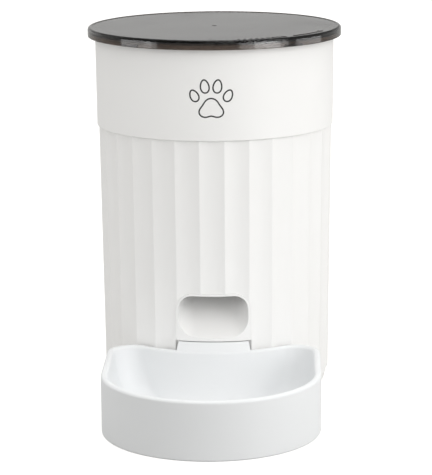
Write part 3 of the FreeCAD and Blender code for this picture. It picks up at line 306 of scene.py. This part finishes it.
def printed_line(bm, outline, target):
    """A closed printed line just inside outline, laid on target's front as a thin closed band."""
    rings = []
    count = len(outline)
    for i, (x, z) in enumerate(outline):
        ahead, before = outline[(i + 1) % count], outline[i - 1]
        run = Vector((ahead[0] - before[0], ahead[1] - before[1])).normalized()
        inward = Vector((-run.y, run.x)) * PAW_LINE
        ring = []
        for shift, lift in ((0, -INK_HALF), (0, INK_HALF), (1, INK_HALF), (1, -INK_HALF)):
            start = (PAW_AT + Vector((x + shift * inward.x, 0, z + shift * inward.y))) * MM
            _, spot, normal, _ = target.ray_cast(start, (0, 1, 0))
            ring.append(bm.verts.new(spot + normal * lift * MM))
        rings.append(ring)
    for i in range(count):
        one, other = rings[i], rings[(i + 1) % count]
        for k in range(4):
            bm.faces.new((one[k], one[(k + 1) % 4], other[(k + 1) % 4], other[k]))


def new_piece(name, bm, material, body):
    """A finished piece from bm, riding on a body."""
    bmesh.ops.recalc_face_normals(bm, faces=bm.faces)
    mesh = bpy.data.meshes.new(name)
    bm.to_mesh(mesh)
    bm.free()
    mesh.materials.append(material)
    piece = bpy.data.objects.new(name, mesh)
    bpy.context.scene.collection.objects.link(piece)
    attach(piece, body)


def make_paw_print():
    """A plain paw print in outline, printed on the front of the tank's collar."""
    bm = bmesh.new()
    for outline in [toe_outline(*toe) for toe in TOES] + [pad_outline()]:
        printed_line(bm, outline, NODES["hopper_tank"])
    new_piece("paw_print", bm, BLACK_INK, "tank")


def raised(bm, outline, bevel, up_to=MARKS_UP_TO):
    """A raised mark with a bevelled top, from an outline of (x, y) about the lid's middle."""
    middle = sum((Vector(p) for p in outline), Vector((0, 0))) / len(outline)
    rings = []
    for height, inset in ((MARKS_FROM, 0.0), (up_to - bevel * MM, 0.0), (up_to, bevel)):
        ring = []
        for p in outline:
            inward = (middle - Vector(p)).normalized() * inset
            x, y = (Vector(p) + inward) * MM
            ring.append(bm.verts.new((LID_MIDDLE.x + x, LID_MIDDLE.y + y, height)))
        rings.append(ring)
    for lower, upper in zip(rings, rings[1:]):
        for i in range(len(outline)):
            j = (i + 1) % len(outline)
            bm.faces.new((lower[i], lower[j], upper[j], upper[i]))
    bm.faces.new(rings[0][::-1])
    bm.faces.new(rings[-1])


def polar(radius, degrees):
    """The (x, y) at that radius and angle."""
    return radius * math.cos(math.radians(degrees)), radius * math.sin(math.radians(degrees))


def make_lid_marks():
    """The moulding gate, and near the rim, ticks that grow and a curved arrow that show the lid's turn."""
    bm = bmesh.new()
    for k in range(TICKS):
        middle = TICK_START + TICK_STEP * k
        inner = TICK_INNER - TICK_GROWTH * k
        raised(bm, [polar(inner, middle - TICK_HALF), polar(TICK_OUTER, middle - TICK_HALF),
                    polar(TICK_OUTER, middle + TICK_HALF), polar(inner, middle + TICK_HALF)], MARK_BEVEL)
    for k in range(ARROW_PIECES):
        a = ARROW_START + (ARROW_END - ARROW_START) * k / ARROW_PIECES
        b = ARROW_START + (ARROW_END - ARROW_START) * (k + 1) / ARROW_PIECES
        raised(bm, [polar(ARROW_INNER, a), polar(ARROW_OUTER, a),
                    polar(ARROW_OUTER, b), polar(ARROW_INNER, b)], ARROW_BEVEL)
    back = ARROW_END - HEAD_OVERLAP
    tip = polar((HEAD_INNER + HEAD_OUTER) / 2, ARROW_END + HEAD_LENGTH)
    raised(bm, [polar(HEAD_INNER, back), polar(HEAD_OUTER, back), tip], MARK_BEVEL)
    gate = [polar(GATE_RADIUS, 360 * k / GATE_POINTS) for k in range(GATE_POINTS)]
    raised(bm, gate, GATE_BEVEL, up_to=MARKS_UP_TO - GATE_BEVEL * MM)
    new_piece("lid_turning_marks", bm, RAISED_MARKS, "lid")


# ---- stage ----------------------------------------------------------------------------------
def make_world():
    """White behind the feeder; an even light on it; and in glossy plastic, a dark room in front."""
    world = bpy.data.worlds.new("studio")
    bpy.context.scene.world = world
    world.use_nodes = True
    tree = world.node_tree
    path = tree.nodes.new("ShaderNodeLightPath")
    place = tree.nodes.new("ShaderNodeTexCoord")
    axes = tree.nodes.new("ShaderNodeSeparateXYZ")
    tree.links.new(place.outputs["Generated"], axes.inputs["Vector"])
    behind = ranged(tree, axes.outputs["Z"], 0.67, 0.38, start=0.08, end=0.40)
    mirrored = ranged(tree, axes.outputs["Y"], 0.06, behind, start=-0.70, end=-0.10)
    diffuse = ranged(tree, axes.outputs["Y"], 0.80, 1.10, start=-0.1, end=0.7)
    unseen = ranged(tree, path.outputs["Is Glossy Ray"], diffuse, mirrored)
    strength = ranged(tree, path.outputs["Is Camera Ray"], unseen, 1.06)
    background = tree.nodes["Background"]
    background.inputs["Color"].default_value = (1.0, 0.992, 0.978, 1)
    tree.links.new(strength, background.inputs["Strength"])


def floor_material():
    """Pale and even to the camera, with a patch that bounces little light in front of the bowl."""
    skin = Skin("pale_floor", Roughness=0.9, Emission_Color=(1.0, 0.995, 0.98, 1))
    patch = skin.add("ShaderNodeMapping", vector_type="TEXTURE", Location=DARK_FLOOR_AT,
                     Scale=DARK_FLOOR_REACH)
    skin.link(skin.place, patch.inputs["Vector"])
    away = skin.add("ShaderNodeVectorMath", operation="LENGTH")
    skin.link(patch.outputs["Vector"], away.inputs["Vector"])
    distance = away.outputs["Value"]
    to_camera = skin.add("ShaderNodeLightPath").outputs["Is Camera Ray"]
    bounced = ranged(skin.tree, distance, 0.0, 0.11, start=0.3, end=1.0)
    glow = ranged(skin.tree, to_camera, bounced, 0.72)
    skin.link(glow, skin.shader.inputs["Emission Strength"])
    paleness = ranged(skin.tree, distance, 0.25, 1.0, start=0.2, end=1.0)
    skin.colour(ranged(skin.tree, to_camera, paleness, 1.0), (0.03, 0.03, 0.03), (0.51, 0.51, 0.50))
    return skin.material


def make_floor():
    """A wide plain floor."""
    mesh = bpy.data.meshes.new("floor")
    bm = bmesh.new()
    signs = ((-1, -1), (1, -1), (1, 1), (-1, 1))
    bm.faces.new([bm.verts.new((x * FLOOR_HALF, y * FLOOR_HALF, 0.0)) for x, y in signs])
    bm.to_mesh(mesh)
    bm.free()
    mesh.materials.append(floor_material())
    floor = bpy.data.objects.new("floor", mesh)
    bpy.context.scene.collection.objects.link(floor)


def area_light(name, at, aim, width, height, radiance, glossy_only=False):
    """A softbox of that radiance. It never shows itself to the camera."""
    data = bpy.data.lights.new(name, "AREA")
    data.shape = "RECTANGLE"
    data.size = width
    data.size_y = height
    data.energy = radiance * math.pi * width * height
    light = bpy.data.objects.new(name, data)
    bpy.context.scene.collection.objects.link(light)
    light.location = at
    light.rotation_euler = (Vector(aim) - Vector(at)).to_track_quat("-Z", "Y").to_euler()
    light.visible_camera = False
    light.visible_diffuse = not glossy_only


def round_the_front(degrees, distance, height):
    """A place at that angle round from straight ahead, to the right."""
    turn = math.radians(degrees)
    return distance * math.sin(turn), -distance * math.cos(turn), height


def make_lights():
    """Three softboxes light the feeder. The low strips show only as highlights on the lid's skirt."""
    key_at = round_the_front(53.0, 2.4, 1.3)
    front_at = round_the_front(8.0, 2.4, 1.5)
    area_light("key_softbox", key_at, LIGHTS_AIM, width=1.7, height=1.9, radiance=1.85)
    area_light("front_softbox", front_at, LIGHTS_AIM, width=1.2, height=1.0, radiance=1.3)
    area_light("top_softbox", (0.1, 0.1, 2.4), (0.0, 0.0, 0.1), width=1.6, height=1.6, radiance=1.5)
    for k, (degrees, width, radiance) in enumerate(STRIPS):
        at = round_the_front(degrees, STRIP_DISTANCE + STRIP_STAGGER * k, STRIP_MIDDLE)
        aim = (0.0, 0.0, STRIP_MIDDLE)
        area_light(f"lid_strip_{k}", at, aim, width, STRIP_HEIGHT, radiance, glossy_only=True)


def make_camera():
    """The camera, turned by its azimuth, pitch and roll."""
    data = bpy.data.cameras.new("camera")
    data.lens = CAMERA_LENS
    data.sensor_width = 36.0
    data.clip_start = 0.1
    data.clip_end = 60.0
    camera = bpy.data.objects.new("camera", data)
    bpy.context.scene.collection.objects.link(camera)
    ca, sa = math.cos(CAMERA_AZIMUTH), math.sin(CAMERA_AZIMUTH)
    cp, sp = math.cos(CAMERA_PITCH), math.sin(CAMERA_PITCH)
    across, upward = Vector((ca, sa, 0)), Vector((-sa * sp, ca * sp, cp))
    forward = Vector((-sa * cp, ca * cp, -sp))
    right = across * math.cos(CAMERA_ROLL) + upward * math.sin(CAMERA_ROLL)
    up = upward * math.cos(CAMERA_ROLL) - across * math.sin(CAMERA_ROLL)
    turn = Matrix((right, up, -forward)).transposed().to_4x4()
    camera.matrix_world = Matrix.Translation(CAMERA_AT) @ turn
    bpy.context.scene.camera = camera


# ---- the scene ------------------------------------------------------------------------------
dress_cad_nodes()
make_paw_print()
make_lid_marks()
make_world()
make_floor()
make_lights()
make_camera()
bpy.context.scene.view_settings.view_transform = "Standard"
